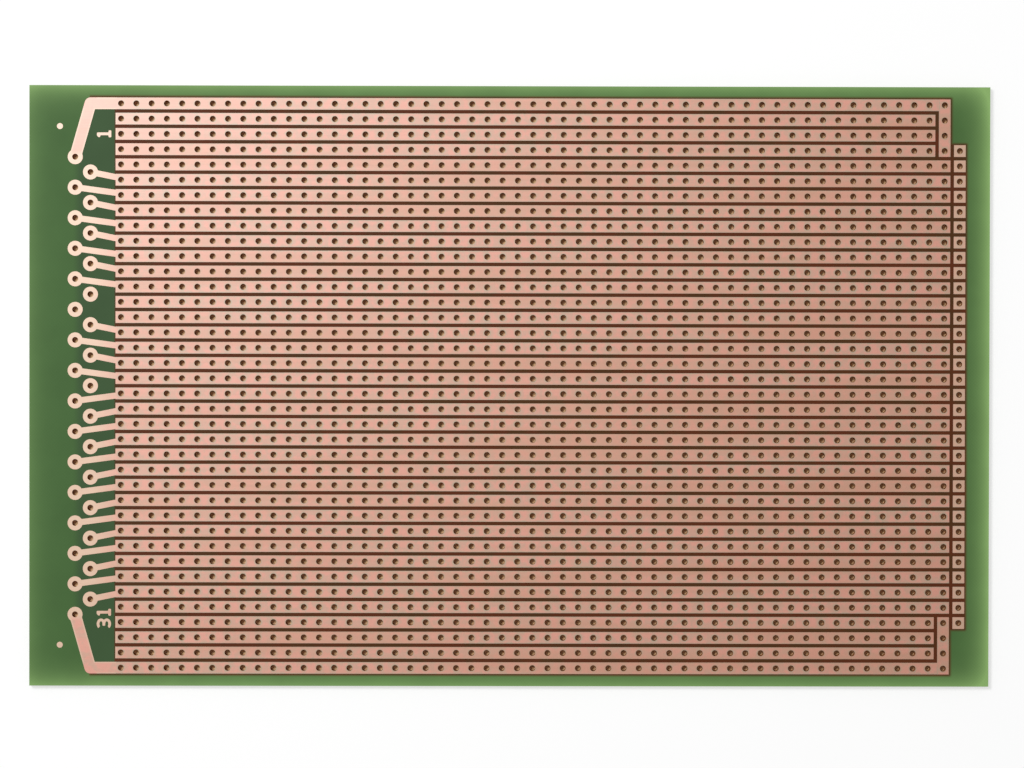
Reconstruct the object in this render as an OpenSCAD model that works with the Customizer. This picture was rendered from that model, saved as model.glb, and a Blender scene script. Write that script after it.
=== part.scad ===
// Prototype board: a drilled glass-epoxy card with copper strips on one side and
// a staggered double row of pads for a plug-in connector along its left edge.
// Frame: millimetres, centre of the underside at the origin, +X along the strips
// away from the connector, +Y across the strips, +Z out of the copper side.

/* [Board] */
// Length along the strips
board_length = 160; // [120:1:240]
// Width across the strips
board_width = 100; // [90:1:240]
// Laminate thickness under the copper
board_thick = 1.6; // [0.8:0.1:3.2]
// Height of the resin left standing under the copper, keyed into the foil
key_height = 0.01; // [0.005:0.005:0.03]

/* [Hole grid] */
// Spacing of the holes, both ways
pitch = 2.54; // [2:0.01:2.6]
// Diameter of every drilled hole
hole_d = 1.0; // [0.6:0.05:1.4]
// Left edge to the first column of holes
first_column = 15.24; // [12:0.01:30]
// Least distance from a long edge to the outer row of holes
row_margin = 2.8; // [2:0.1:10]
// Least distance from the right edge to the column of end pads
end_margin = 4.8; // [2:0.1:20]

/* [Copper] */
// Foil thickness
foil = 0.035; // [0.018:0.001:0.105]
// Width of a strip, and the side of an end pad
strip_width = 1.95; // [1.6:0.05:2.2]
// How far a strip runs past its first hole, towards the connector
strip_start = 0.9; // [0.7:0.05:1.2]
// Strips beside each bus that stop one hole short, for the bar at its end
short_strips = 3; // [1:1:6]
// Segments in the rounded corner of a bus
corner_steps = 8; // [3:1:16]

/* [Connector] */
// Number of pins, odd because the outer row has one more than the inner
pins = 31; // [13:2:31]
// Pitches from the first column of holes to the inner row of pads
inner_row = 2; // [2:1:3]
// Pitches from the first column of holes to the outer row of pads
outer_row = 3; // [3:1:4]
// Diameter of a connector pad
pad_d = 2.5; // [1.8:0.05:2.8]
// Width of the leads from pads to strips
lead_width = 1.0; // [0.5:0.05:1.2]
// How far from its strip's centre line, towards its pad, a lead ends
lead_shift = 0.25; // [0:0.05:0.4]
// Pins whose pads have no lead
free_pins = [10, 11, 16];
// Pitches from the first column of holes to the drill marks
mark_column = 4; // [4:1:5]
// Pitches from the end pins to the drill marks, along the rows
mark_offset = 2; // [2:1:3]
// Diameter of the solid copper drill marks
mark_d = 1.0; // [0.6:0.1:2]

/* [Hidden] */
$fn = 32;
rows = floor((board_width - 2 * row_margin) / pitch) + 1;
columns = floor((board_length - first_column - end_margin) / pitch);
middle_row = (rows - 1) / 2;
middle_pin = (pins + 1) / 2;
top = board_thick;
// How far a drill runs past each face
overrun = 1;

function padded(n) = str(n < 10 ? "0" : "", n);
function strip_name(r) = str("strip_", padded(r + 1));

// Places on the grid: column c from the left, row r from the top
function x_of(c) = -board_length / 2 + first_column + c * pitch;
function y_of(r) = (middle_row - r) * pitch;
function at(c, r) = [x_of(c), y_of(r)];

// Connector pins, odd ones in the outer row
function pin_row(n) = middle_row + n - middle_pin;
function pin_column(n) = n % 2 == 1 ? -outer_row : -inner_row;
function pin_at(n) = at(pin_column(n), pin_row(n));
function is_free(n) = len([for (f = free_pins) if (f == n) f]) > 0;
// The strip that a pin's lead goes to: the next one towards the middle
function strip_of(n) = n < middle_pin ? ceil(pin_row(n)) : floor(pin_row(n));
function pins_of(r) = [for (n = [2 : pins - 1]) if (!is_free(n) && strip_of(n) == r) n];

// Strips beside a bus end one hole short, and so do not meet the bus's end bar
function is_short(r) = min(r, rows - 1 - r) <= short_strips;
function last_column(r) = columns - (is_short(r) ? 2 : 1);
function row_holes(r) = [for (c = [0 : last_column(r)]) at(c, r)];
function bus_holes() = concat(
    [for (c = [0 : columns - 1]) at(c, 0)],
    [for (r = [1 : short_strips]) at(columns - 1, r)]
);
// End pads stand beside the strips that run to the full length, and one more each way
function end_pad_places() = [for (r = [short_strips : rows - 1 - short_strips]) at(columns, r)];
function free_pad_places() = [for (n = free_pins) if (n <= pins) pin_at(n)];
function mark_places() = [for (n = [1, pins])
    at(-mark_column, pin_row(n) + (n == 1 ? -mark_offset : mark_offset))];

function along(a, b) = (b - a) / norm(b - a);
function left_of(d) = [-d[1], d[0]];
function turned(v, angle) = v * cos(angle) + left_of(v) * sin(angle);

module spots(places) {
    for (p = places) translate(p) children();
}

module drilled(places) {
    difference() {
        children();
        spots(places) circle(d = hole_d);
    }
}

// A straight track between two points
module track(a, b, width) {
    n = left_of(along(a, b)) * width / 2;
    polygon([a + n, a - n, b - n, b + n]);
}

// A track from a to c by way of b, turning left, rounded outside its corner
module bent_track(a, b, c, width) {
    n1 = left_of(along(a, b)) * width / 2;
    n2 = left_of(along(b, c)) * width / 2;
    turn = acos(n1 * n2 / (norm(n1) * norm(n2)));
    inside = b + (n1 + n2) / (1 + cos(turn));
    round_outside = [for (i = [0 : corner_steps]) b - turned(n1, i * turn / corner_steps)];
    polygon(concat([a - n1], round_outside, [c - n2, c + n2, inside, a + n1]));
}

// Outlines of the copper, without holes
module strip_outline(r) {
    start = [strip_start, 0];
    end = [strip_width / 2, 0];
    track(at(0, r) - start, at(last_column(r), r) + end, strip_width);
    for (n = pins_of(r)) {
        towards_pad = [0, sign(y_of(pin_row(n)) - y_of(r)) * lead_shift];
        track(pin_at(n), at(0, r) + towards_pad, lead_width);
        translate(pin_at(n)) circle(d = pad_d);
    }
}

module bus_outline() {
    end = [strip_width / 2, 0];
    rise = [0, strip_width / 2];
    bent_track(at(columns - 1, 0) + end, at(-inner_row, 0), pin_at(1), strip_width);
    track(at(columns - 1, short_strips) - rise, at(columns - 1, 0) + rise, strip_width);
    translate(pin_at(1)) circle(d = pad_d);
}

module end_pad_outlines() {
    spots(end_pad_places()) square(strip_width, center = true);
}

module free_pad_outlines() {
    spots(free_pad_places()) circle(d = pad_d);
}

module mark_outlines() {
    spots(mark_places()) circle(d = mark_d);
}

module all_outlines() {
    bus_outline();
    mirror([0, 1]) bus_outline();
    for (r = [1 : rows - 2]) strip_outline(r);
    free_pad_outlines();
    end_pad_outlines();
    mark_outlines();
}

module all_holes() {
    for (c = [0 : columns - 1], r = [0 : rows - 1]) translate(at(c, r)) circle(d = hole_d);
    for (n = [1 : pins]) translate(pin_at(n)) circle(d = hole_d);
    spots(end_pad_places()) circle(d = hole_d);
}

module on_top() {
    color([0.84, 0.64, 0.56]) translate([0, 0, top]) linear_extrude(foil) children();
}

// The pieces
module board() {
    core = top - key_height;
    // The lands under the copper reach down into the core, so that both are one solid
    land_foot = core / 2;
    color([0.3, 0.47, 0.25])
    difference() {
        union() {
            linear_extrude(core) square([board_length, board_width], center = true);
            translate([0, 0, land_foot]) linear_extrude(top - land_foot) all_outlines();
        }
        translate([0, 0, -overrun]) linear_extrude(top + 2 * overrun) all_holes();
    }
}

module bus_top() {
    on_top() drilled(concat(bus_holes(), [pin_at(1)])) bus_outline();
}

module bus_bottom() {
    mirror([0, 1, 0]) bus_top();
}

module strip(r) {
    on_top() drilled(concat(row_holes(r), [for (n = pins_of(r)) pin_at(n)])) strip_outline(r);
}

module free_pads() {
    on_top() drilled(free_pad_places()) free_pad_outlines();
}

module end_pads() {
    on_top() drilled(end_pad_places()) end_pad_outlines();
}

module drill_marks() {
    on_top() mark_outlines();
}

board();
bus_top();
bus_bottom();
for (r = [1 : rows - 2]) strip(r);
free_pads();
end_pads();
drill_marks();
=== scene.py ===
"""Looks of a drilled prototype board: green glass-epoxy, bare copper strips and etched pin numbers."""

import math

import bmesh
import bpy
from mathutils import Euler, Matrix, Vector


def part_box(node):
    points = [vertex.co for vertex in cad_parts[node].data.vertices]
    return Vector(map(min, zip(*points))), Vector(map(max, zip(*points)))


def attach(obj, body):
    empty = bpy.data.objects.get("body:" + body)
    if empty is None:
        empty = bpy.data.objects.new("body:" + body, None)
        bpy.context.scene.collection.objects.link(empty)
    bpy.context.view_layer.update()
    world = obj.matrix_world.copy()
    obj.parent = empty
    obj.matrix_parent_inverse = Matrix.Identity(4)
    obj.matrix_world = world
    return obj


bl_info = {
    "name": "Prototype Board",
    "version": (1, 0, 0),
    "blender": (4, 5, 0),
    "location": "View3D > Sidebar > Prototype Board",
    "description": "Dresses the drilled board, its copper and its pin numbers, and sets the stage",
    "category": "Object",
}

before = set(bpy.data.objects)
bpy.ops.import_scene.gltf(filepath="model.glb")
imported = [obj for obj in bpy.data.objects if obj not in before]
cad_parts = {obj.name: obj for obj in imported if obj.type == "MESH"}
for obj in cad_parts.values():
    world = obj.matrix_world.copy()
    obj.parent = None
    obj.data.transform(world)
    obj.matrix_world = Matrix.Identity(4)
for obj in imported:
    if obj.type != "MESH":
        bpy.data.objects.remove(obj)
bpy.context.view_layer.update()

MM = 0.001
ROOT = "root"
COPPER_NODES = [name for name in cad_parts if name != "board"]

# Sizes read from the frame
BOARD_LOW, BOARD_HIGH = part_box("board")
STRIP_LOW, STRIP_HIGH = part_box("strip_02")
NEXT_STRIP_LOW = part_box("strip_03")[0]
END_LOW, END_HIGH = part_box("end_pads")
FREE_LOW, FREE_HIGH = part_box("free_pads")
BUS_LOW, BUS_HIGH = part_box("bus_top")
STRIP_WIDTH = STRIP_HIGH.y - STRIP_LOW.y
STRIP_EDGE = STRIP_WIDTH / 2
PITCH = STRIP_LOW.y - NEXT_STRIP_LOW.y
COPPER_TOP = STRIP_HIGH.z
KEY_HEIGHT = 0.01 * MM  # step from the bare laminate up to the copper's underside
LAMINATE_TOP = STRIP_LOW.z - KEY_HEIGHT

# The first column of holes lies whole pitches before the end pads, less than one past the strips' start
END_COLUMN = (END_LOW.x + END_HIGH.x) / 2
FIRST_COLUMN = END_COLUMN - math.floor((END_COLUMN - STRIP_LOW.x) / PITCH) * PITCH
FIRST_ROW = STRIP_HIGH.y - STRIP_EDGE + PITCH
FIELD_LEFT = STRIP_LOW.x
FIELD_RIGHT = END_LOW.x - (PITCH - STRIP_WIDTH)
FIELD_TOP = FIRST_ROW + STRIP_EDGE

# The free pads lie in both rows of connector pads, the topmost of them in the inner row
PAD_RADIUS = (FREE_HIGH.x - FREE_LOW.x - PITCH) / 2
INNER_PAD = Vector((FREE_HIGH.x - PAD_RADIUS, FREE_HIGH.y - PAD_RADIUS))
OUTER_PAD = INNER_PAD - Vector((PITCH, PITCH))
FIRST_PIN = BUS_LOW.y + PAD_RADIUS

# Inner corner of the bar across the end of the upper bus
BAR_LOW = Vector((BUS_HIGH.x - STRIP_WIDTH, END_HIGH.y - STRIP_WIDTH))

# Values of a noise between which one tone gives way to another
PATCHES = (0.4, 0.6)
STREAKS = (0.42, 0.68)

# Detail of a noise, and how many times its width a pattern runs along the strips
CLOUDY, SMOOTH = 3.0, 2.0
TARNISH_LENGTH = 12.0
MARK_LENGTH = 60.0

# Where one finish of the laminate gives way to another
DOWN_TO_UP = (-0.1, 0.1)  # rise of the normal, from the underside to the upper side
FLAT_TO_CUT = (0.6, 0.4)  # rise of the normal, from a flat face to a cut wall
DRILLED_TO_SAWN = (0.3 * MM, 0.2 * MM)  # depth behind the board's outline
# The last one fades the painted shade of the strips on the underside.
BARE_TO_BACKED = (1.2 * STRIP_EDGE, 0.9 * STRIP_EDGE)  # distance from a strip's middle, on the underside
RELIEF_DEPTH = 0.01 * MM  # height of the cloth's threads and of the scrubbing marks

# Shape of the etched figures
FLAG_DROP, FLAG_TIP, FLAG_ROOT = 0.5, 0.7, 1.2  # the one's flag, in strokes
BOWL_END = 145  # degrees from the right side of the three's bowls round to their open ends
ARC_STEPS = 14
SHARP_TURN = math.radians(40)  # a corner that turns by more is rounded
CORNER_STEPS = 3

# Stage
WHITE, BLACK = (1.0, 1.0, 1.0), (0.0, 0.0, 0.0)
FLOOR_ROUGHNESS = 0.9
FLOOR_FADE = 0.01 * MM  # width of the step from the floor under the board to the floor round it
NEAREST, FARTHEST = 0.01, 2.0  # camera's limits, in shares of its distance and of the floor's side


def linear(red, green, blue):
    """Turns display values from 0 to 255 into the linear colour that the shaders use, by the sRGB curve."""
    def one(value):
        value /= 255
        return value / 12.92 if value <= 0.04045 else ((value + 0.055) / 1.055) ** 2.4
    return one(red), one(green), one(blue)


def colour_property(name, description, display):
    """A colour that a user may change, given by its display values."""
    return bpy.props.FloatVectorProperty(
        name=name, description=description, subtype="COLOR", size=3, min=0, max=1, default=linear(*display))


def length_property(name, description, millimetres):
    """A length that a user may change, in metres with its default in millimetres."""
    return bpy.props.FloatProperty(
        name=name, description=description, unit="LENGTH", min=0, precision=5, default=millimetres * MM)


def share_property(name, description, share):
    """A share from 0 to 1 that a user may change."""
    return bpy.props.FloatProperty(
        name=name, description=description, subtype="FACTOR", min=0, max=1, default=share)


class LaminateLook(bpy.types.PropertyGroup):
    """Colours and texture sizes of the glass-epoxy sheet."""

    margin: colour_property("Margin", "Green of the bare margins", (65, 96, 52))
    # Painted light: the paler green near the edges is a painted glow of light leaking into the resin, not a
    # colour of the resin itself.
    edge: colour_property("Edge", "Paler green where light leaks in at the board's edges", (134, 169, 103))
    # Painted shade: the deeper green between the leads stands in for less light in the resin near the
    # copper.
    shade_between_leads: colour_property("Nook", "Deeper green between the connector's leads", (57, 81, 50))
    # Painted shade: the dark brown in the gaps between the strips stands in for shade there; the resin in
    # the gaps is the same green as the margins. The greener stretches vary that painted shade at random.
    gap: colour_property("Gap", "Dark tone of the narrow gaps between the strips", (85, 40, 17))
    olive_gap_shade: colour_property("Olive gap", "Greener stretches of those gaps", (72, 44, 18))
    sawn: colour_property("Sawn", "Pale tone of the sawn edges", (150, 160, 124))
    # Partly painted shade: the drilled walls are a deeper brown than the pale cut resin, giving the holes
    # their dim brown look.
    drilled: colour_property("Drilled", "Brown of the drilled walls", (160, 102, 58))
    # Painted shade: the underside is darker where strips lie behind it.
    shade: colour_property("Shade", "Green of the underside where copper backs it", (52, 80, 44))
    # Spread and strength of that painted glow; the shares make some edges glow more than others.
    leak: length_property("Leak", "Depth at which the light that leaks in has fallen to about a third", 1.7)
    leak_shares: bpy.props.FloatVectorProperty(
        name="Leak shares", description="How much light leaks in at the left, right, bottom and top edges",
        size=4, min=0, max=1, default=(0.25, 1.0, 0.65, 0.7))
    # Width over which the painted shade by the copper fades out.
    blur: length_property("Blur", "How far the deeper tones fade out from the copper", 0.6)
    olive: length_property("Olive", "Size of the greener stretches of the gaps", 5.0)
    cloud: length_property("Cloud", "Size of the cloudy patches of the skin", 6.0)
    cloud_tone: share_property("Cloud tone", "How far the clouds lighten and darken the skin", 0.24)
    weave: length_property("Weave", "Spacing of the glass cloth's threads", 0.55)
    weave_tone: share_property("Weave tone", "How far the threads lighten and darken the skin", 0.035)
    weave_relief: share_property("Weave relief", "How strongly the threads stand out", 0.12)
    ply: length_property("Ply", "Thickness of one layer of glass cloth in a cut edge", 0.2)
    ply_tone: share_property("Ply tone", "How far the layers lighten and darken a cut edge", 0.16)
    fibre: length_property("Fibre", "Size of the specks of cut fibres", 0.25)
    fibre_tone: share_property("Fibre tone", "How far the fibres lighten and darken a cut edge", 0.5)
    roughness: share_property("Roughness", "Roughness of the resin skin", 0.5)
    cut_roughness: share_property("Cut roughness", "Roughness of sawn and drilled walls", 0.9)
    shine: share_property("Shine", "Strength of the resin's reflection", 0.1)


class CopperLook(bpy.types.PropertyGroup):
    """Colours and texture sizes of the bare foil."""

    pink: colour_property("Pink", "Clean copper between the holes", (207, 143, 121))
    tan: colour_property("Tan", "Slightly dulled copper round holes and along edges", (174, 150, 123))
    dull: colour_property("Dull", "Stretches of light tarnish", (192, 136, 105))
    pale: colour_property("Pale", "Paler copper of the leads, pads, figures and marks", (202, 169, 141))
    halo: length_property("Halo", "Radius round a hole's centre that the tan reaches", 0.8)
    halo_core: length_property("Halo core", "Radius round a hole's centre in which the tan is full", 0.56)
    rim: length_property("Rim", "Width of the tan along the edges of strips", 0.3)
    rim_share: share_property("Rim share", "Strength of the tan round holes and along edges", 0.7)
    mottle: length_property("Mottle", "Size of the fine pink and tan mottling", 1.1)
    mottle_share: share_property("Mottle share", "Strength of the mottling", 0.45)
    stretch: length_property("Stretch", "Width of the stretches of tarnish that run along the strips", 3.0)
    stretch_share: share_property("Stretch share", "Strength of the tarnish", 0.6)
    lead_share: share_property("Lead share", "Share of the paler tone where a lead meets its strip", 0.3)
    end_share: share_property("End share", "Share of the paler tone on the end pads", 0.6)
    grain: length_property("Grain", "Spacing of the fine scrubbing marks along the strips", 0.12)
    grain_tone: share_property("Grain tone", "How far the marks lighten and darken the foil", 0.1)
    grain_relief: share_property("Grain relief", "How strongly the marks stand out", 0.1)
    grain_roughness: share_property("Grain roughness", "How far the marks vary the roughness", 0.12)
    speck: length_property("Speck", "Size of the fine specks", 0.5)
    speck_tone: share_property("Speck tone", "How far the specks lighten and darken the foil", 0.1)
    roughness: share_property("Roughness", "Roughness of the scrubbed foil", 0.66)
    lacquer: share_property("Lacquer", "Strength of the thin clear lacquer over the foil", 1.0)
    lacquer_roughness: share_property("Lacquer roughness", "Roughness of the lacquer", 0.38)
    lacquer_index: bpy.props.FloatProperty(
        name="Lacquer index", description="Refractive index of the lacquer", min=1, max=2, default=2.0)


class NumberLook(bpy.types.PropertyGroup):
    """Sizes and places of the etched pin numbers."""

    height: length_property("Height", "Height of a figure", 2.4)
    stroke: length_property("Stroke", "Width of a figure's strokes", 0.46)
    foot: length_property("Foot", "Length of the bar under the one", 1.15)
    flag: length_property("Flag", "How far the one's flag reaches from the middle of its stem", 0.55)
    three: length_property("Three", "Width of the three", 1.67)
    corner: length_property("Corner", "Rounding of the figures' corners", 0.14)
    column: bpy.props.FloatProperty(
        name="Column", description="Pitches from the first column of holes to the figures' middle",
        default=-1.11)
    first_row: bpy.props.FloatProperty(
        name="First row", description="Row of the first pin's number, counted from the top", default=2.0)
    last_row: bpy.props.FloatProperty(
        name="Last row", description="Row of the last pin's number, counted from the top", default=33.73)
    spread: bpy.props.FloatProperty(
        name="Spread", description="Pitches between the middles of two figures of a number", default=0.74)


class StageLook(bpy.types.PropertyGroup):
    """Floor, light and camera."""

    floor: bpy.props.FloatProperty(
        name="Floor", description="Side of the floor", unit="LENGTH", default=6.0)
    floor_white: share_property("Floor white", "How much light the floor gives back", 0.95)
    # Painted light: the warm tint under the board stands in for the brown light seen in the holes.
    under: colour_property("Under", "Tint of the floor in the brown light of the holes", (250, 214, 164))
    floor_lift: share_property("Floor lift", "How far the floor is lifted to white where it is seen", 0.6)
    sky: bpy.props.FloatProperty(
        name="Sky", description="Strength of the light from all round", min=0, default=0.45)
    key: bpy.props.FloatProperty(
        name="Key", description="Power of the soft light", unit="POWER", min=0, default=4.8)
    key_side: length_property("Key side", "Side of the soft light", 220)
    key_place: bpy.props.FloatVectorProperty(
        name="Key place", description="Place of the soft light, up and to the left of the board",
        subtype="TRANSLATION", default=(-0.268, 0.246, 0.75))
    distance: length_property("Distance", "Camera's distance from the copper", 600)
    view_width: length_property("View width", "Width of the copper's plane in the picture", 170.65)
    middle: bpy.props.FloatVectorProperty(
        name="Middle", description="Point of the board in the middle of the picture", size=2,
        subtype="TRANSLATION", default=(0.00036, 0.00041))
    turn: bpy.props.FloatVectorProperty(
        name="Turn", description="Turn of the camera from looking straight down", subtype="EULER",
        default=[math.radians(angle) for angle in (-0.7, -0.44, 0.11)])


def column_x(column):
    """Where a column of holes lies along the board."""
    return FIRST_COLUMN + column * PITCH


def row_y(row):
    """Where a row of holes lies across the board, with row 0 at the top."""
    return FIRST_ROW - row * PITCH


def new_material(name):
    """An empty node material with its shader and output."""
    material = bpy.data.materials.new(name)
    material.use_nodes = True
    tree = material.node_tree
    tree.nodes.clear()
    shader = add(tree, "ShaderNodeBsdfPrincipled")
    add(tree, "ShaderNodeOutputMaterial", {"Surface": shader.outputs["BSDF"]})
    return material, tree, shader


def fill(tree, socket, value):
    """Links an output to a socket, or sets the socket to a plain value."""
    if isinstance(value, bpy.types.NodeSocket):
        tree.links.new(value, socket)
    else:
        socket.default_value = value


def add(tree, kind, inputs=None, **settings):
    """Adds a node with its settings, its inputs linked or filled by name."""
    made = tree.nodes.new(kind)
    for name, value in settings.items():
        setattr(made, name, value)
    for name, value in (inputs or {}).items():
        fill(tree, made.inputs[name], value)
    return made


def maths(tree, operation, *values):
    """One step of arithmetic on up to three values."""
    made = tree.nodes.new("ShaderNodeMath")
    made.operation = operation
    for socket, value in zip(made.inputs, values):
        fill(tree, socket, value)
    return made.outputs[0]


def times(tree, first, *others):
    """The product of two or more values."""
    for other in others:
        first = maths(tree, "MULTIPLY", first, other)
    return first


def varied(tree, level, *parts):
    """A level that noises raise and lower, each given with its weight, about an unchanged middle."""
    total = level - sum(weight for _, weight in parts) / 2
    for value, weight in parts:
        total = maths(tree, "MULTIPLY_ADD", value, weight, total)
    return total


def ramp(tree, value, start, end):
    """Rises smoothly from 0 where the value is start to 1 where it is end."""
    made = add(tree, "ShaderNodeMapRange", {
        "Value": value, "From Min": start, "From Max": end, "To Min": 0.0, "To Max": 1.0,
    }, interpolation_type="SMOOTHSTEP")
    return made.outputs["Result"]


def mix(tree, share, first, second):
    """Blends two colours."""
    made = tree.nodes.new("ShaderNodeMix")
    made.data_type = "RGBA"
    colours = [socket for socket in made.inputs if socket.type == "RGBA"]
    fill(tree, made.inputs["Factor"], share)
    for socket, colour in zip(colours, (first, second)):
        fill(tree, socket, colour if isinstance(colour, bpy.types.NodeSocket) else (*colour, 1.0))
    return next(socket for socket in made.outputs if socket.type == "RGBA")


def noise(tree, place, size, length_along=1.0, detail=CLOUDY):
    """Variation from 0 to 1, about as wide as size and drawn out along the strips."""
    spread = add(tree, "ShaderNodeMapping", {
        "Vector": place, "Scale": (1 / (size * length_along), 1 / size, 1 / size),
    })
    made = add(tree, "ShaderNodeTexNoise", {
        "Vector": spread.outputs["Vector"], "Scale": 1.0, "Detail": detail,
    })
    return made.outputs["Fac"]


def object_place(tree):
    """Object coordinates, whole and as x, y and z."""
    place = add(tree, "ShaderNodeTexCoord").outputs["Object"]
    parts = add(tree, "ShaderNodeSeparateXYZ", {"Vector": place}).outputs
    return place, parts["X"], parts["Y"], parts["Z"]


def off_line(tree, value, first, spacing):
    """Distance from a value to the nearest of a set of evenly spaced lines."""
    steps = maths(tree, "DIVIDE", maths(tree, "SUBTRACT", value, first), spacing)
    part = maths(tree, "SUBTRACT", steps, maths(tree, "ROUND", steps))
    return times(tree, maths(tree, "ABSOLUTE", part), spacing)


def length(tree, first, second):
    """Length of the slope over two distances at right angles."""
    squares = maths(tree, "ADD", maths(tree, "POWER", first, 2.0), maths(tree, "POWER", second, 2.0))
    return maths(tree, "SQRT", squares)


def wave(tree, value, spacing):
    """A smooth wave between -1 and 1 that repeats at a spacing."""
    return maths(tree, "SINE", times(tree, value, 2 * math.pi / spacing))


def within(tree, value, low, high, blur):
    """1 between two limits, fading to 0 over blur outside them."""
    rise = ramp(tree, value, low - blur, low)
    fall = ramp(tree, value, high + blur, high)
    return times(tree, rise, fall)


def inside(tree, x, y, low, high, blur):
    """1 inside a rectangle of the board's plane, fading to 0 over blur outside it."""
    along = within(tree, x, low[0], high[0], blur)
    across = within(tree, y, low[1], high[1], blur)
    return times(tree, along, across)


def toned(tree, colour, level):
    """A colour made lighter or darker."""
    return add(tree, "ShaderNodeHueSaturation", {"Color": colour, "Value": level}).outputs["Color"]


def relief(tree, height, strength):
    """The normal of a surface with fine relief."""
    made = add(tree, "ShaderNodeBump", {"Height": height, "Strength": strength, "Distance": RELIEF_DEPTH})
    return made.outputs["Normal"]


def beside_bus(tree, x, from_middle):
    """How far a point lies to the right of the middle of a bus's slanted lead."""
    past_pin = maths(tree, "MAXIMUM", maths(tree, "SUBTRACT", from_middle, FIRST_PIN), 0.0)
    slope = PITCH / (FIRST_ROW - FIRST_PIN)
    return maths(tree, "SUBTRACT", x, maths(tree, "MULTIPLY_ADD", past_pin, slope, OUTER_PAD.x))


def painted_edge_glow(tree, look, x, y):
    """Share of the painted glow that stands in for light leaking in from the board's four edges, 1 at the
    most.
    """
    to_edges = (
        maths(tree, "SUBTRACT", x, BOARD_LOW.x),
        maths(tree, "SUBTRACT", BOARD_HIGH.x, x),
        maths(tree, "SUBTRACT", y, BOARD_LOW.y),
        maths(tree, "SUBTRACT", BOARD_HIGH.y, y),
    )
    glow = 0.0
    for to_edge, share in zip(to_edges, look.leak_shares):
        left_over = maths(tree, "EXPONENT", maths(tree, "DIVIDE", to_edge, -look.leak))
        glow = maths(tree, "MULTIPLY_ADD", left_over, share, glow)
    return maths(tree, "MINIMUM", glow, 1.0)


def among_strips(tree, look, x, y, from_middle):
    """1 in the field of strips, which reaches further left under the bent ends of the buses; the gaps there
    get their painted shade.
    """
    under_bus = ramp(tree, from_middle, FIELD_TOP - STRIP_WIDTH, FIELD_TOP)
    shifted = maths(tree, "MULTIPLY_ADD", under_bus, FIELD_LEFT - INNER_PAD.x, x)
    past_left = ramp(tree, shifted, FIELD_LEFT - look.blur / 2, FIELD_LEFT)
    in_limits = inside(tree, x, y, (BOARD_LOW.x, -FIELD_TOP), (FIELD_RIGHT, FIELD_TOP), look.blur)
    return times(tree, past_left, in_limits)


def between_leads(tree, look, x, from_middle):
    """1 on the laminate between the connector's leads, to the right of the slanted leads of the buses,
    where painted shade darkens it.
    """
    past_lead = ramp(tree, beside_bus(tree, x, from_middle), -look.blur, 2 * look.blur)
    below_bus = ramp(tree, from_middle, FIELD_TOP, FIELD_TOP - STRIP_WIDTH)
    before_strips = ramp(tree, x, FIELD_LEFT + PITCH, FIELD_LEFT)
    return times(tree, past_lead, below_bus, before_strips)


def laminate_skin(tree, look, place, x, y):
    """Colours of the upper side and of the underside, before the weave."""
    from_middle = maths(tree, "ABSOLUTE", y)
    # Margin green with the painted glow of leaked light towards the edges.
    green = mix(tree, painted_edge_glow(tree, look, x, y), look.margin, look.edge)
    by_end_pads = inside(tree, x, y, (FIELD_RIGHT, END_LOW.y), END_HIGH, look.blur)

    # Painted shade in the gaps between the strips and beside the end pads, varied at random between brown
    # and olive.
    greener = ramp(tree, noise(tree, place, look.olive), *PATCHES)
    gap = mix(tree, greener, look.gap, look.olive_gap_shade)
    in_shaded_gap = maths(tree, "MAXIMUM", among_strips(tree, look, x, y, from_middle), by_end_pads)
    # Painted shade between the connector's leads.
    bare = mix(tree, between_leads(tree, look, x, from_middle), green, look.shade_between_leads)
    upper = mix(tree, in_shaded_gap, bare, gap)

    # Underside: painted shade of the strips behind the resin darkens the green in bands.
    field = inside(tree, x, y, (FIELD_LEFT, -FIELD_TOP), (FIELD_RIGHT, FIELD_TOP), look.blur)
    under_row = ramp(tree, off_line(tree, y, FIRST_ROW, PITCH), *BARE_TO_BACKED)
    backed = times(tree, under_row, maths(tree, "MAXIMUM", field, by_end_pads))
    lower = mix(tree, backed, green, look.shade)
    return upper, lower


def at_outline(tree, x, y):
    """1 on the board's sawn edges, 0 on the walls of its holes."""
    to_end = maths(tree, "SUBTRACT", BOARD_HIGH.x, maths(tree, "ABSOLUTE", x))
    to_side = maths(tree, "SUBTRACT", BOARD_HIGH.y, maths(tree, "ABSOLUTE", y))
    return ramp(tree, maths(tree, "MINIMUM", to_end, to_side), *DRILLED_TO_SAWN)


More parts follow.
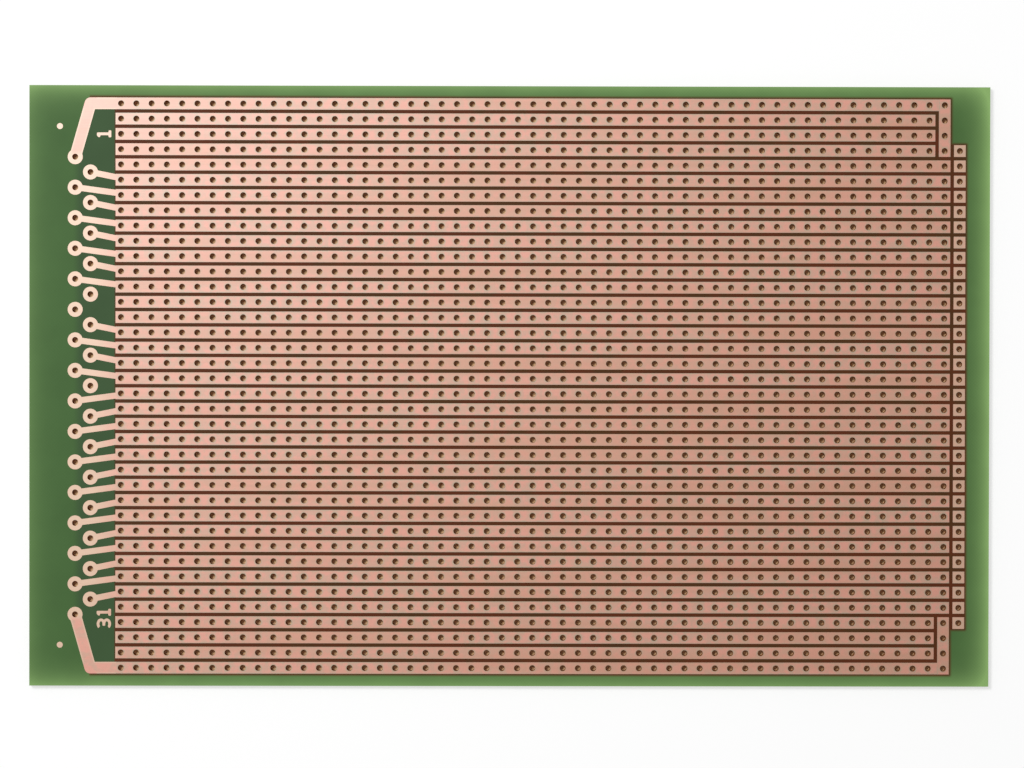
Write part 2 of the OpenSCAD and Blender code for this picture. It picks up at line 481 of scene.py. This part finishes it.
def glass_epoxy(look):
    """Green laminate: woven skin, painted glow at the edges, painted shade in the gaps, cut walls, painted
    shade of the strips showing through below.
    """
    material, tree, shader = new_material("glass_epoxy")
    place, x, y, z = object_place(tree)
    normal = add(tree, "ShaderNodeNewGeometry").outputs["Normal"]
    facing = add(tree, "ShaderNodeSeparateXYZ", {"Vector": normal}).outputs["Z"]

    upper, lower = laminate_skin(tree, look, place, x, y)
    skin = mix(tree, ramp(tree, facing, *DOWN_TO_UP), lower, upper)
    threads = times(tree, wave(tree, x, look.weave), wave(tree, y, look.weave))
    clouds = varied(tree, 1.0, (noise(tree, place, look.cloud), look.cloud_tone))
    woven = toned(tree, skin, maths(tree, "MULTIPLY_ADD", threads, look.weave_tone, clouds))

    # Hole walls take the drilled brown, partly painted shade; the sawn outline keeps its pale tone.
    wall = mix(tree, at_outline(tree, x, y), look.drilled, look.sawn)
    fibres = varied(tree, 1.0, (noise(tree, place, look.fibre), look.fibre_tone))
    layers = maths(tree, "MULTIPLY_ADD", wave(tree, z, look.ply), look.ply_tone, fibres)
    is_cut = ramp(tree, maths(tree, "ABSOLUTE", facing), *FLAT_TO_CUT)
    fill(tree, shader.inputs["Base Color"], mix(tree, is_cut, woven, toned(tree, wall, layers)))

    rougher = look.cut_roughness - look.roughness
    rough = maths(tree, "MULTIPLY_ADD", is_cut, rougher, look.roughness)
    fill(tree, shader.inputs["Roughness"], rough)
    shader.inputs["Specular IOR Level"].default_value = look.shine
    fill(tree, shader.inputs["Normal"], relief(tree, threads, look.weave_relief))
    return material


def copper_rims(tree, look, x, y):
    """1 round the holes and along the edges of strips and buses, 0 on the copper between."""
    off_column = off_line(tree, x, FIRST_COLUMN, PITCH)
    off_row = off_line(tree, y, FIRST_ROW, PITCH)
    round_hole = ramp(tree, length(tree, off_column, off_row), look.halo, look.halo_core)

    on_bar = times(tree, maths(tree, "GREATER_THAN", x, BAR_LOW.x),
                   maths(tree, "GREATER_THAN", maths(tree, "ABSOLUTE", y), BAR_LOW.y))
    turned = maths(tree, "SUBTRACT", off_column, off_row)
    off_middle = maths(tree, "MULTIPLY_ADD", on_bar, turned, off_row)
    along_edge = ramp(tree, off_middle, STRIP_EDGE - look.rim, STRIP_EDGE)

    in_field = ramp(tree, x, FIELD_LEFT - look.rim, FIELD_LEFT)
    return times(tree, maths(tree, "MAXIMUM", round_hole, along_edge), in_field)


def small_copper(tree, look, x, y):
    """1 on the connector's pads, figures and marks, less on leads and end pads, 0 on strips and buses."""
    from_middle = maths(tree, "ABSOLUTE", y)
    off_lead = maths(tree, "ABSOLUTE", beside_bus(tree, x, from_middle))
    past_pad = ramp(tree, from_middle, FIRST_PIN, FIRST_PIN + PAD_RADIUS)
    on_lead = times(tree, ramp(tree, off_lead, STRIP_EDGE, STRIP_EDGE - look.rim), past_pad)
    off_row = maths(tree, "ABSOLUTE", maths(tree, "SUBTRACT", from_middle, FIRST_ROW))
    on_bus = maths(tree, "MAXIMUM", on_lead, ramp(tree, off_row, STRIP_EDGE, STRIP_EDGE - look.rim))

    past_leads = maths(tree, "GREATER_THAN", from_middle, FIRST_PIN)
    to_pads = maths(tree, "MAXIMUM", ramp(tree, x, FIELD_LEFT, INNER_PAD.x), past_leads)
    paler = maths(tree, "MULTIPLY_ADD", to_pads, 1.0 - look.lead_share, look.lead_share)
    before_strips = ramp(tree, x, FIELD_LEFT + look.rim, FIELD_LEFT)
    at_connector = times(tree, before_strips, paler, maths(tree, "SUBTRACT", 1.0, on_bus))

    at_end = times(tree, maths(tree, "GREATER_THAN", x, FIELD_RIGHT), look.end_share)
    return maths(tree, "MAXIMUM", at_connector, at_end)


def bare_copper(look):
    """Scrubbed, lightly tarnished foil under thin lacquer: pink between the holes, tan round them."""
    material, tree, shader = new_material("bare_copper")
    place, x, y, _ = object_place(tree)

    rims = times(tree, copper_rims(tree, look, x, y), look.rim_share)
    mottle = ramp(tree, noise(tree, place, look.mottle, detail=SMOOTH), *PATCHES)
    dulled = maths(tree, "MULTIPLY_ADD", mottle, look.mottle_share, rims)
    foil = mix(tree, dulled, look.pink, look.tan)
    tarnish = ramp(tree, noise(tree, place, look.stretch, TARNISH_LENGTH), *STREAKS)
    foil = mix(tree, times(tree, tarnish, look.stretch_share), foil, look.dull)
    foil = mix(tree, small_copper(tree, look, x, y), foil, look.pale)

    marks = noise(tree, place, look.grain, MARK_LENGTH, SMOOTH)
    specks = noise(tree, place, look.speck)
    level = varied(tree, 1.0, (marks, look.grain_tone), (specks, look.speck_tone))
    fill(tree, shader.inputs["Base Color"], toned(tree, foil, level))
    shader.inputs["Metallic"].default_value = 1.0
    fill(tree, shader.inputs["Roughness"], varied(tree, look.roughness, (marks, look.grain_roughness)))
    shader.inputs["Coat Weight"].default_value = look.lacquer
    shader.inputs["Coat Roughness"].default_value = look.lacquer_roughness
    shader.inputs["Coat IOR"].default_value = look.lacquer_index
    fill(tree, shader.inputs["Normal"], relief(tree, marks, look.grain_relief))
    return material


def dress(piece, material):
    """Gives a piece one material all over."""
    piece.data.materials.clear()
    piece.data.materials.append(material)


class BOARD_OT_dress_laminate(bpy.types.Operator):
    """Gives the drilled board its glass-epoxy finish"""

    bl_idname = "board.dress_laminate"
    bl_label = "Dress Laminate"

    def execute(self, context):
        dress(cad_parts["board"], glass_epoxy(context.scene.laminate_look))
        return {"FINISHED"}


class BOARD_OT_dress_copper(bpy.types.Operator):
    """Gives every strip, pad and mark its bare copper finish"""

    bl_idname = "board.dress_copper"
    bl_label = "Dress Copper"

    def execute(self, context):
        copper = bare_copper(context.scene.copper_look)
        for name in COPPER_NODES:
            dress(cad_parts[name], copper)
        return {"FINISHED"}


def arc(middle, radii, start, end):
    """Points along part of an ellipse, with the angles in degrees."""
    step = (end - start) / ARC_STEPS
    turns = [math.radians(start + step * count) for count in range(ARC_STEPS + 1)]
    return [
        (middle[0] + radii[0] * math.cos(turn), middle[1] + radii[1] * math.sin(turn)) for turn in turns
    ]


def one_outline(look):
    """Outline of the figure one: stem, foot and a flag to the left."""
    top = look.height / 2
    stem = look.stroke / 2
    foot = look.foot / 2
    foot_top = look.stroke - top
    flag_top = top - look.stroke * FLAG_DROP
    flag_bottom = flag_top - look.stroke * FLAG_TIP
    flag_root = top - look.stroke * FLAG_ROOT
    return [
        (-foot, -top), (foot, -top), (foot, foot_top), (stem, foot_top), (stem, top), (-stem, top),
        (-look.flag, flag_top), (-look.flag, flag_bottom), (-stem, flag_root),
        (-stem, foot_top), (-foot, foot_top),
    ]


def three_outline(look):
    """Outline of the figure three: two open bowls that meet at a short bar."""
    half = look.stroke / 2
    bowl_rise = (look.height - look.stroke) / 4
    reach = (look.three - look.stroke) / (1 - math.cos(math.radians(BOWL_END)))
    aside = (look.three - look.stroke) / 2 - reach
    bar_end = -look.three / 2 + look.stroke
    waist = math.degrees(math.asin(bowl_rise / (bowl_rise + half)))
    upper, lower = (aside, bowl_rise), (aside, -bowl_rise)
    outer = (reach + half, bowl_rise + half)
    inner = (reach - half, bowl_rise - half)
    return [
        *arc(upper, outer, BOWL_END, -waist), *arc(lower, outer, waist, -BOWL_END)[1:],
        *arc(lower, inner, -BOWL_END, 90), (bar_end, -half), (bar_end, half),
        *arc(upper, inner, -90, BOWL_END),
    ]


def select_sharp_uprights(piece):
    """Selects the upright edges at the sharp corners of a standing outline."""
    shape = bmesh.from_edit_mesh(piece.data)
    for edge in shape.edges:
        first, second = edge.verts
        upright = abs(first.co.z - second.co.z) > KEY_HEIGHT
        edge.select_set(upright and edge.calc_face_angle(0.0) > SHARP_TURN)
    bmesh.update_edit_mesh(piece.data)


def etched_figure(name, outline, middle, corner):
    """A figure etched in the foil, read from below upwards, standing on the laminate."""
    bpy.ops.object.select_all(action="DESELECT")
    bpy.ops.mesh.primitive_circle_add(vertices=len(outline), radius=PITCH / 2, fill_type="NGON")
    piece = bpy.context.object
    piece.name = name
    for vertex, (across, up) in zip(piece.data.vertices, outline):
        vertex.co = (middle[0] - up, middle[1] + across, LAMINATE_TOP)
    bpy.ops.object.mode_set(mode="EDIT")
    bpy.ops.mesh.select_all(action="SELECT")
    bpy.ops.mesh.extrude_region_move(TRANSFORM_OT_translate={"value": (0, 0, COPPER_TOP - LAMINATE_TOP)})
    bpy.ops.mesh.select_all(action="SELECT")
    bpy.ops.mesh.normals_make_consistent(inside=False)
    bpy.ops.mesh.select_mode(type="EDGE")
    bpy.ops.mesh.select_all(action="DESELECT")
    select_sharp_uprights(piece)
    bpy.ops.mesh.bevel(offset=corner, segments=CORNER_STEPS, affect="EDGES", clamp_overlap=True)
    bpy.ops.object.mode_set(mode="OBJECT")
    return piece


class BOARD_OT_etch_numbers(bpy.types.Operator):
    """Makes the copper figures beside the first and last connector pads"""

    bl_idname = "board.etch_numbers"
    bl_label = "Etch Numbers"

    def execute(self, context):
        look = context.scene.number_look
        copper = bpy.data.materials["bare_copper"]
        half = look.spread / 2
        figures = (
            ("first_pin_one", one_outline(look), look.first_row),
            ("last_pin_three", three_outline(look), look.last_row + half),
            ("last_pin_one", one_outline(look), look.last_row - half),
        )
        for name, outline, row in figures:
            piece = etched_figure(name, outline, (column_x(look.column), row_y(row)), look.corner)
            dress(piece, copper)
            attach(piece, ROOT)
        return {"FINISHED"}


def pale_floor(look):
    """Pale floor that keeps the board's shadow, lifted to white round the board but not under its holes,
    and tinted warm under the board as painted light.
    """
    material, tree, shader = new_material("pale_floor")
    _, x, y, _ = object_place(tree)
    light_path = add(tree, "ShaderNodeLightPath").outputs
    seen = maths(tree, "MAXIMUM", light_path["Is Camera Ray"], light_path["Is Glossy Ray"])
    seen = maths(tree, "MAXIMUM", seen, light_path["Is Transmission Ray"])
    covered = inside(tree, x, y, BOARD_LOW, BOARD_HIGH, FLOOR_FADE)
    lift = times(tree, seen, maths(tree, "SUBTRACT", 1.0, covered), look.floor_lift)
    # Under the board the floor takes a warm tint: painted light for the brown glow seen through the holes.
    pale = mix(tree, covered, (look.floor_white,) * 3, look.under)
    fill(tree, shader.inputs["Base Color"], mix(tree, lift, pale, BLACK))
    fill(tree, shader.inputs["Emission Strength"], lift)
    shader.inputs["Emission Color"].default_value = (*WHITE, 1.0)
    shader.inputs["Roughness"].default_value = FLOOR_ROUGHNESS
    shader.inputs["Specular IOR Level"].default_value = 0.0
    return material


def aim(piece, target):
    """Turns a lamp to shine at a point."""
    piece.rotation_euler = (Vector(target) - piece.location).to_track_quat("-Z", "Y").to_euler()


class BOARD_OT_set_stage(bpy.types.Operator):
    """Makes the floor, the light and a camera that looks down on the copper"""

    bl_idname = "board.set_stage"
    bl_label = "Set Stage"

    def execute(self, context):
        scene = context.scene
        look = scene.stage_look
        scene.view_settings.view_transform = "Standard"

        bpy.ops.object.select_all(action="DESELECT")
        bpy.ops.mesh.primitive_plane_add(size=look.floor, location=(0, 0, BOARD_LOW.z))
        floor = context.object
        floor.name = "floor"
        dress(floor, pale_floor(look))

        sky = bpy.data.worlds.new("sky")
        sky.use_nodes = True
        background = sky.node_tree.nodes["Background"]
        background.inputs["Strength"].default_value = look.sky
        background.inputs["Color"].default_value = (*WHITE, 1.0)
        scene.world = sky

        bpy.ops.object.light_add(type="AREA", location=look.key_place)
        key = context.object
        key.name = "key_light"
        key.data.energy = look.key
        key.data.size = look.key_side
        aim(key, (0, 0, COPPER_TOP))

        middle = Vector((*look.middle, COPPER_TOP))
        backwards = Euler(look.turn).to_matrix() @ Vector((0, 0, look.distance))
        bpy.ops.object.camera_add(location=middle + backwards, rotation=look.turn)
        camera = context.object
        camera.name = "camera"
        camera.data.lens = camera.data.sensor_width * look.distance / look.view_width
        camera.data.clip_start = look.distance * NEAREST
        camera.data.clip_end = look.floor * FARTHEST
        scene.camera = camera
        return {"FINISHED"}


class BOARD_PT_panel(bpy.types.Panel):
    """Lists the steps that dress the board"""

    bl_idname = "BOARD_PT_panel"
    bl_label = "Prototype Board"
    bl_space_type = "VIEW_3D"
    bl_region_type = "UI"
    bl_category = "Prototype Board"

    def draw(self, context):
        for step in STEPS:
            self.layout.operator(step.bl_idname)
        for settings in LOOKS:
            box = self.layout.box()
            box.label(text=settings.replace("_", " ").capitalize())
            group = getattr(context.scene, settings)
            for name in group.bl_rna.properties.keys():
                if name not in ("rna_type", "name"):
                    box.prop(group, name)


LOOKS = {
    "laminate_look": LaminateLook,
    "copper_look": CopperLook,
    "number_look": NumberLook,
    "stage_look": StageLook,
}
STEPS = (BOARD_OT_dress_laminate, BOARD_OT_dress_copper, BOARD_OT_etch_numbers, BOARD_OT_set_stage)
CLASSES = (*LOOKS.values(), *STEPS, BOARD_PT_panel)


def register():
    """Registers the classes and hangs the looks on the scene."""
    for item in CLASSES:
        bpy.utils.register_class(item)
    for name, group in LOOKS.items():
        setattr(bpy.types.Scene, name, bpy.props.PointerProperty(type=group))


def unregister():
    """Takes the looks off the scene and unregisters the classes."""
    for name in LOOKS:
        delattr(bpy.types.Scene, name)
    for item in reversed(CLASSES):
        bpy.utils.unregister_class(item)


def main():
    """Dresses the board step by step."""
    register()
    bpy.ops.board.dress_laminate()
    bpy.ops.board.dress_copper()
    bpy.ops.board.etch_numbers()
    bpy.ops.board.set_stage()


if __name__ == "__main__":
    main()
